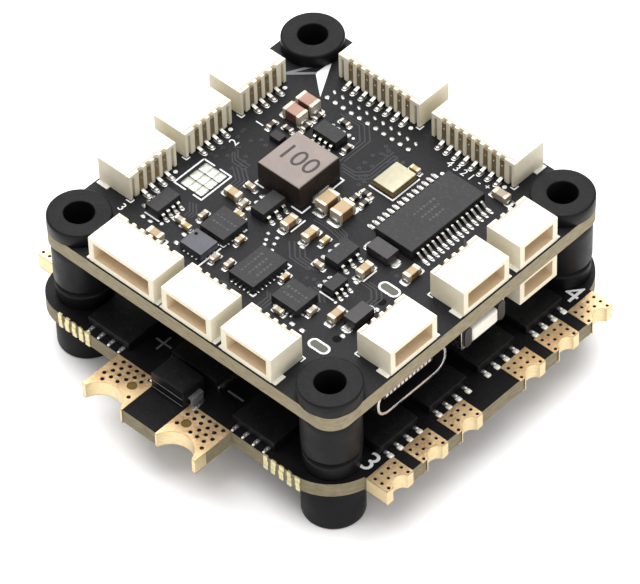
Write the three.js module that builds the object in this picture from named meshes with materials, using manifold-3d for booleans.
// Two-board flight control stack: a flight controller board riding on rubber grommets
// over a four-channel motor power board. Millimetres, +Z up, +Y forward, +X right.
// The origin is at the middle of the bounding box, at the bottom of the lower grommets.

import * as THREE from 'three';
import { mergeVertices } from 'three/addons/utils/BufferGeometryUtils.js';
import Module from 'manifold-3d';

const wasm = await Module();
wasm.setup();

// driving dimensions

const holePitch = 30.5;          // mounting pattern, hole to hole both ways
const patternShiftY = 2.325;     // the battery tab sticks out behind, so the pattern sits forward
const boardThickness = 1.6;

// heights of the stack, from the feet up
const powerBoardBottom = 4.7;
const powerBoardTop = powerBoardBottom + boardThickness;
const collarJoint = 8.2;         // where the upper grommets stand on the lower ones
const controllerBottom = 13.2;
const controllerTop = controllerBottom + boardThickness;
const stackTop = 16.3;           // top faces of the upper grommets

// grommets
const upperGrommet = { barrel: 2.8, collar: 3.0 };
const lowerGrommet = { barrel: 2.93, collar: 2.72 };
const grommetNeckRadius = 2.0;
const grommetBoreRadius = 1.4;   // clears an M2.5 screw, or an M3 screw lightly stretched
const grommetEdge = 0.22;
const boardHoleRadius = 2.06;

// flight controller board
const controllerSide = 36;
const controllerCorner = 2.2;

// power board: main square, motor pad wings and battery tab
const powerHalfX = 19;
const powerHalfY = 18.95;
const powerCornerLeft = 3.9;
const powerCornerRight = 5.3;
const wingHalfX = 21.55;
const wingHalfY = 15;
const tabCentreX = -0.42;
const tabHalfX = 6.93;
const tabEndY = -23.6;
const plating = 0.12;            // drawn thickness of the plated copper wrap
const platingGap = 0.05;

const motorPadWidth = 3.35;
const motorPadInnerX = 19.1;
const motorPadRows = [-13.3, -8.75, -4.2, 4.2, 8.75, 13.3];
const motorNotchRadius = 1.0;
const motorNotchX = 21.88;

const batteryPadWidth = 4.85;
const batteryPadTopY = -18.95;
const batteryNotchRadius = 2.25;
const batteryNotchY = -24.2;
const batteryNotchOffset = 4.4;

// 1.0 mm pitch side-entry sockets
const socketDepth = 4.0;
const socketHeight = 2.95;
const socketPitch = 1.0;
const socketEndAllowance = 3.0;  // body width beyond the outer pins, both ends together
const socketMouth = 17.85;       // distance of the mouths from the pattern centre

// USB type-C receptacle, hung under the controller board
const usbWidth = 8.94;
const usbHeight = 3.26;
const usbWall = 0.3;
const usbDepth = 7.35;
const usbFrontX = 17.55;
const usbCentreY = -7.3;

// boot button
const bootCentreY = 2.25;
const bootBody = { back: 14.9, front: 17.3, width: 5.7, height: 3.45 };
const bootPlunger = { back: 16.2, front: 17.65, width: 3.4, bottom: 10.2, top: 11.85 };
const bootPocket = { back: 15.85, width: 3.66, bottom: 10.07, top: 11.98 };

// materials

const surface = (color, roughness, metalness) =>
  new THREE.MeshStandardMaterial({ color, roughness, metalness });

const materials = {
  soldermask: surface(0x1c1d20, 0.45, 0.0),
  rubber: surface(0x131416, 0.6, 0.0),
  ivory: surface(0xe9e2cf, 0.5, 0.0),
  gold: surface(0xd8b878, 0.3, 1.0),
  steel: surface(0xc4c6c8, 0.3, 1.0),
  epoxy: surface(0x232426, 0.6, 0.0),
  sensor: surface(0x4a4d5c, 0.45, 0.0),
  ferrite: surface(0x8a7f7c, 0.65, 0.0),
  crystal: surface(0xd9cfae, 0.35, 0.6),
  plunger: surface(0xd8d8d4, 0.4, 0.0),
  tongue: surface(0x17181a, 0.5, 0.0),
};

// geometry helpers

function signedVolume(geometry) {
  const p = geometry.attributes.position;
  const index = geometry.index.array;
  const a = new THREE.Vector3();
  const b = new THREE.Vector3();
  const c = new THREE.Vector3();
  let sum = 0;
  for (let i = 0; i < index.length; i += 3) {
    a.fromBufferAttribute(p, index[i]);
    b.fromBufferAttribute(p, index[i + 1]);
    c.fromBufferAttribute(p, index[i + 2]);
    sum += a.dot(b.cross(c));
  }
  return sum / 6;
}

// merged, closed and facing outwards
function closed(source) {
  const bare = source.clone();
  bare.deleteAttribute('normal');
  bare.deleteAttribute('uv');
  const geometry = mergeVertices(bare, 1e-4);
  if (signedVolume(geometry) < 0) {
    const index = geometry.index.array;
    for (let i = 0; i < index.length; i += 3) {
      [index[i], index[i + 1]] = [index[i + 1], index[i]];
    }
  }
  return geometry;
}

function solid(source) {
  const geometry = closed(source);
  return new wasm.Manifold(new wasm.Mesh({
    numProp: 3,
    vertProperties: new Float32Array(geometry.attributes.position.array),
    triVerts: new Uint32Array(geometry.index.array),
  }));
}

function fromSolid(manifold) {
  const mesh = manifold.getMesh();
  const geometry = new THREE.BufferGeometry();
  geometry.setAttribute('position', new THREE.BufferAttribute(mesh.vertProperties, 3));
  geometry.setIndex(new THREE.BufferAttribute(mesh.triVerts, 1));
  return geometry;
}

function carve(source, cutters) {
  let body = solid(source);
  for (const cutter of cutters) body = body.subtract(solid(cutter));
  return fromSolid(body);
}

// a box from one corner to the opposite one
function block(x0, y0, z0, x1, y1, z1) {
  const geometry = new THREE.BoxGeometry(x1 - x0, y1 - y0, z1 - z0);
  geometry.translate((x0 + x1) / 2, (y0 + y1) / 2, (z0 + z1) / 2);
  return geometry;
}

function prism(shape, z0, z1, curveSegments = 12) {
  const geometry = new THREE.ExtrudeGeometry(shape, { depth: z1 - z0, bevelEnabled: false, curveSegments });
  geometry.translate(0, 0, z0);
  return geometry;
}

function roundedRectangle(halfX, halfY, right, left = right) {
  const shape = new THREE.Shape();
  shape.moveTo(-halfX + left, -halfY);
  shape.lineTo(halfX - right, -halfY);
  shape.absarc(halfX - right, -halfY + right, right, -Math.PI / 2, 0);
  shape.lineTo(halfX, halfY - right);
  shape.absarc(halfX - right, halfY - right, right, 0, Math.PI / 2);
  shape.lineTo(-halfX + left, halfY);
  shape.absarc(-halfX + left, halfY - left, left, Math.PI / 2, Math.PI);
  shape.lineTo(-halfX, -halfY + left);
  shape.absarc(-halfX + left, -halfY + left, left, Math.PI, Math.PI * 1.5);
  return shape;
}

function disc(x, y, radius, z0, z1, segments = 24) {
  const geometry = new THREE.CylinderGeometry(radius, radius, z1 - z0, segments);
  geometry.rotateX(Math.PI / 2);
  geometry.translate(x, y, (z0 + z1) / 2);
  return geometry;
}

// assembly

const group = new THREE.Group();
group.name = 'flight_controller_board';

function add(name, geometry, material) {
  const mesh = new THREE.Mesh(geometry, material);
  mesh.name = name;
  mesh.position.y = patternShiftY;
  group.add(mesh);
  return mesh;
}

const half = holePitch / 2;
const corners = [
  ['front_left', -half, half],
  ['front_right', half, half],
  ['rear_left', -half, -half],
  ['rear_right', half, -half],
];

// rubber bobbins: a collar above the board, a neck through its hole and a longer barrel below
function grommet(zFoot, zBoardBottom, zBoardTop, zHead, { barrel, collar }) {
  const e = grommetEdge;
  const profile = [
    [grommetBoreRadius, zFoot],
    [barrel - e, zFoot],
    [barrel, zFoot + e],
    [barrel, zBoardBottom],
    [grommetNeckRadius, zBoardBottom],
    [grommetNeckRadius, zBoardTop],
    [collar, zBoardTop],
    [collar, zHead - e],
    [collar - e, zHead],
    [grommetBoreRadius, zHead],
    [grommetBoreRadius, zFoot],
  ];
  const points = profile.map(([x, y]) => new THREE.Vector2(x, y));
  const geometry = new THREE.LatheGeometry(points, 24);
  geometry.rotateX(Math.PI / 2);
  return closed(geometry);
}

for (const [corner, x, y] of corners) {
  const lower = add(`power_grommet_${corner}`,
    grommet(0, powerBoardBottom, powerBoardTop, collarJoint, lowerGrommet), materials.rubber);
  lower.position.x = x;
  lower.position.y += y;
  const upper = add(`controller_grommet_${corner}`,
    grommet(collarJoint, controllerBottom, controllerTop, stackTop, upperGrommet), materials.rubber);
  upper.position.x = x;
  upper.position.y += y;
}

// controller board
{
  const outline = roundedRectangle(controllerSide / 2, controllerSide / 2, controllerCorner);
  const holes = corners.map(([, x, y]) =>
    disc(x, y, boardHoleRadius, controllerBottom - 1, controllerTop + 1));
  add('controller_board',
    carve(prism(outline, controllerBottom, controllerTop, 6), holes), materials.soldermask);
}

// power board, with the solder notches in its battery tab and motor wings
const notchSides = [-1, 1];
{
  const z0 = powerBoardBottom;
  const z1 = powerBoardTop;
  const edgeX = wingHalfX - plating;
  const edgeY = tabEndY + plating;
  const square = roundedRectangle(powerHalfX, powerHalfY, powerCornerRight, powerCornerLeft);
  let body = solid(prism(square, z0, z1, 6));
  body = body.add(solid(block(-edgeX, -wingHalfY, z0, edgeX, wingHalfY, z1)));
  body = body.add(solid(block(tabCentreX - tabHalfX, edgeY, z0, tabCentreX + tabHalfX, -15, z1)));
  const cut = plating + platingGap;
  for (const side of notchSides) {
    body = body.subtract(solid(disc(tabCentreX + side * batteryNotchOffset, batteryNotchY,
      batteryNotchRadius + cut, z0 - 1, z1 + 1, 32)));
    for (const y of motorPadRows) {
      body = body.subtract(solid(disc(side * motorNotchX, y, motorNotchRadius + cut,
        z0 - 1, z1 + 1, 16)));
    }
  }
  for (const [, x, y] of corners) {
    body = body.subtract(solid(disc(x, y, boardHoleRadius, z0 - 1, z1 + 1)));
  }
  add('power_board', fromSolid(body), materials.soldermask);
}

// plated lands: copper on both faces of the board, joined around its edge and through the notch
function platedLand(outer, inner, notchX, notchY, radius, segments) {
  const z0 = powerBoardBottom;
  const z1 = powerBoardTop;
  const core = solid(block(inner[0], inner[1], z0, inner[2], inner[3], z1))
    .subtract(solid(disc(notchX, notchY, radius + plating, z0 - 1, z1 + 1, segments)));
  const shell = solid(block(outer[0], outer[1], z0 - plating / 2, outer[2], outer[3], z1 + plating / 2))
    .subtract(solid(disc(notchX, notchY, radius, z0 - 1, z1 + 1, segments)))
    .subtract(core);
  return fromSolid(shell);
}

const batteryPads = [['battery_pad_positive', -1], ['battery_pad_negative', 1]];
for (const [name, side] of batteryPads) {
  const outerX = tabCentreX + side * tabHalfX;
  const innerX = outerX - side * batteryPadWidth;
  const x0 = Math.min(outerX, innerX);
  const x1 = Math.max(outerX, innerX);
  add(name, platedLand(
    [x0, tabEndY, x1, batteryPadTopY],
    [x0 - 1, tabEndY + plating, x1 + 1, batteryPadTopY + 1],
    tabCentreX + side * batteryNotchOffset, batteryNotchY, batteryNotchRadius, 32),
  materials.gold);
}

for (const side of notchSides) {
  motorPadRows.forEach((y, row) => {
    const y0 = y - motorPadWidth / 2;
    const y1 = y + motorPadWidth / 2;
    const outer = side > 0
      ? [motorPadInnerX, y0, wingHalfX, y1]
      : [-wingHalfX, y0, -motorPadInnerX, y1];
    const inner = side > 0
      ? [motorPadInnerX - 1, y0 - 1, wingHalfX - plating, y1 + 1]
      : [-wingHalfX + plating, y0 - 1, -motorPadInnerX + 1, y1 + 1];
    add(`motor_pad_${side > 0 ? 'right' : 'left'}_${row + 1}`,
      platedLand(outer, inner, side * motorNotchX, y, motorNotchRadius, 16), materials.gold);
  });
}

// side-entry socket: mouth towards -Y at y = 0, body behind it, standing on z = 0
function socketGeometry(pins) {
  const w = (pins - 1) * socketPitch + socketEndAllowance;
  const side = 0.62;
  const floor = 0.55;
  const roof = 0.5;
  const cavityDepth = 3.0;
  const cutters = [
    block(-w / 2 + side, -1, floor, w / 2 - side, cavityDepth, socketHeight - roof),
  ];
  const slotWidth = 0.56;
  const slotDepth = 0.3;
  for (let pin = 0; pin < pins; pin++) {
    const x = (pin - (pins - 1) / 2) * socketPitch;
    cutters.push(block(x - slotWidth / 2, socketDepth - slotDepth, -1,
      x + slotWidth / 2, socketDepth + 1, socketHeight + 1));
  }
  // shallow vertical grooves at the back of both end walls
  for (const s of [-1, 1]) {
    const x = s * (w / 2 - 0.5);
    cutters.push(block(x - 0.14, socketDepth - 0.3, -1, x + 0.14, socketDepth + 1, socketHeight - 0.45));
  }
  return carve(block(-w / 2, 0, 0, w / 2, socketDepth, socketHeight), cutters);
}

const turns = { rear: 0, right: Math.PI / 2, front: Math.PI, left: -Math.PI / 2 };

function addSocket(name, pins, edge, along, mouth, z, hung = false) {
  const geometry = socketGeometry(pins);
  if (hung) geometry.rotateY(Math.PI);
  geometry.rotateZ(turns[edge]);
  const outward = { rear: [0, -1], right: [1, 0], front: [0, 1], left: [-1, 0] }[edge];
  const x = outward[0] !== 0 ? outward[0] * mouth : along;
  const y = outward[1] !== 0 ? outward[1] * mouth : along;
  geometry.translate(x, y, z);
  add(name, geometry, materials.ivory);
}

const controllerSockets = [
  ['socket_left_1', 4, 'left', -7.2],
  ['socket_left_2', 4, 'left', 0],
  ['socket_left_3', 4, 'left', 7.2],
  ['socket_front_1', 8, 'front', -5.72],
  ['socket_front_2', 8, 'front', 5.72],
  ['socket_rear_1', 6, 'rear', -7.5],
  ['socket_rear_2', 4, 'rear', 0.5],
  ['socket_rear_3', 4, 'rear', 7.7],
  ['socket_right_1', 4, 'right', -7.3],
  ['socket_right_2', 4, 'right', 2.15],
  ['socket_right_3', 3, 'right', 9.1],
];
for (const [name, pins, edge, along] of controllerSockets) {
  addSocket(name, pins, edge, along, socketMouth, controllerTop);
}
addSocket('socket_underside', 3, 'right', 9.1, socketMouth, controllerBottom, true);
addSocket('power_signal_socket', 8, 'front', 0, 18.6, powerBoardTop);

// USB receptacle: a drawn shell, closed at the back, and the contact tongue inside it
{
  const zMiddle = controllerBottom - usbHeight / 2;
  const outer = prism(roundedRectangle(usbWidth / 2, usbHeight / 2, 1.45), 0, usbDepth, 6);
  const inner = prism(
    roundedRectangle(usbWidth / 2 - usbWall, usbHeight / 2 - usbWall, 1.15), 0.9, usbDepth + 1, 6);
  const shell = carve(outer, [inner]);
  // width along Y, height along Z, depth along X
  const stand = new THREE.Matrix4().makeBasis(
    new THREE.Vector3(0, 1, 0), new THREE.Vector3(0, 0, 1), new THREE.Vector3(1, 0, 0));
  shell.applyMatrix4(stand);
  shell.translate(usbFrontX - usbDepth, usbCentreY, zMiddle);
  add('usb_shell', shell, materials.steel);
  add('usb_tongue', block(usbFrontX - usbDepth + 0.9, usbCentreY - 3.35, zMiddle - 0.35,
    usbFrontX - 0.9, usbCentreY + 3.35, zMiddle + 0.35), materials.tongue);
}

// boot button, pressed from the side
{
  const h = bootBody;
  const body = block(h.back, bootCentreY - h.width / 2, controllerBottom - h.height,
    h.front, bootCentreY + h.width / 2, controllerBottom);
  const pocket = block(bootPocket.back, bootCentreY - bootPocket.width / 2, bootPocket.bottom,
    h.front + 1, bootCentreY + bootPocket.width / 2, bootPocket.top);
  add('boot_button_housing', carve(body, [pocket]), materials.steel);
  add('boot_button_plunger', closed(block(bootPlunger.back, bootCentreY - bootPlunger.width / 2,
    bootPlunger.bottom, bootPlunger.front, bootCentreY + bootPlunger.width / 2,
    bootPlunger.top)), materials.plunger);
}

// moulded and canned parts: name, centre x and y, size x, y and z, material, seat, chamfered top
function package_(cx, cy, sx, sy, z0, height, chamfer) {
  const shape = new THREE.Shape();
  const c = chamfer;
  shape.moveTo(-sx / 2, 0);
  shape.lineTo(sx / 2, 0);
  shape.lineTo(sx / 2, height - c);
  shape.lineTo(sx / 2 - c, height);
  shape.lineTo(-sx / 2 + c, height);
  shape.lineTo(-sx / 2, height - c);
  shape.closePath();
  const geometry = new THREE.ExtrudeGeometry(shape, { depth: sy, bevelEnabled: false });
  geometry.rotateX(Math.PI / 2);
  geometry.translate(cx, cy + sy / 2, z0);
  return closed(geometry);
}

const top = controllerTop;
const packages = [
  ['power_inductor', -4.3, 1.7, 5.3, 5.3, top, 2.75, 0.2, materials.ferrite],
  ['osd_chip', 7.7, 6.0, 4.4, 9.7, top + 0.05, 1.05, 0.1, materials.epoxy],
  ['osd_crystal', 2.25, 7.25, 2.5, 3.2, top, 0.75, 0.12, materials.crystal],
  ['gyro_chip', -5.25, -10.3, 2.6, 2.2, top, 0.83, 0.04, materials.sensor],
  ['flash_chip', -5.15, -7.2, 2.9, 3.15, top, 0.9, 0.04, materials.epoxy],
  ['receiver_chip', 0.72, -8.95, 3.0, 4.4, top, 0.85, 0.04, materials.epoxy],
  ['switch_chip', 5.5, -9.35, 3.0, 2.8, top, 0.85, 0.04, materials.epoxy],
  ['bus_transceiver', -11.15, -8.8, 1.6, 2.9, top + 0.05, 1.0, 0.1, materials.epoxy],
  ['regulator_chip', -3.85, -2.8, 1.6, 2.9, top + 0.05, 1.0, 0.1, materials.epoxy],
  ['mosfet_right_1', 15.3, -9.75, 5.8, 4.9, powerBoardTop, 1.0, 0.06, materials.epoxy],
  ['mosfet_right_2', 15.3, -3.35, 5.8, 4.9, powerBoardTop, 1.0, 0.06, materials.epoxy],
  ['mosfet_right_3', 15.3, 3.05, 5.8, 4.9, powerBoardTop, 1.0, 0.06, materials.epoxy],
  ['mosfet_right_4', 15.3, 9.5, 5.8, 4.9, powerBoardTop, 1.0, 0.06, materials.epoxy],
  ['mosfet_rear_1', -9.45, -15.2, 5.1, 5.8, powerBoardTop, 1.0, 0.06, materials.epoxy],
  ['mosfet_rear_2', 8.4, -15.2, 5.1, 5.8, powerBoardTop, 1.0, 0.06, materials.epoxy],
  ['surge_diode', -0.42, -18.5, 4.0, 2.65, powerBoardTop + 0.1, 2.05, 0.25, materials.epoxy],
  ['current_shunt', -0.38, -14.9, 5.5, 3.1, powerBoardTop, 1.5, 0.1, materials.epoxy],
];
for (const [name, cx, cy, sx, sy, z0, height, chamfer, material] of packages) {
  add(name, package_(cx, cy, sx, sy, z0, height, chamfer), material);
}
add('processor_chip', closed(block(-8, -5, controllerBottom - 1.4, 2, 5, controllerBottom - 0.1)),
  materials.epoxy);

export default group;
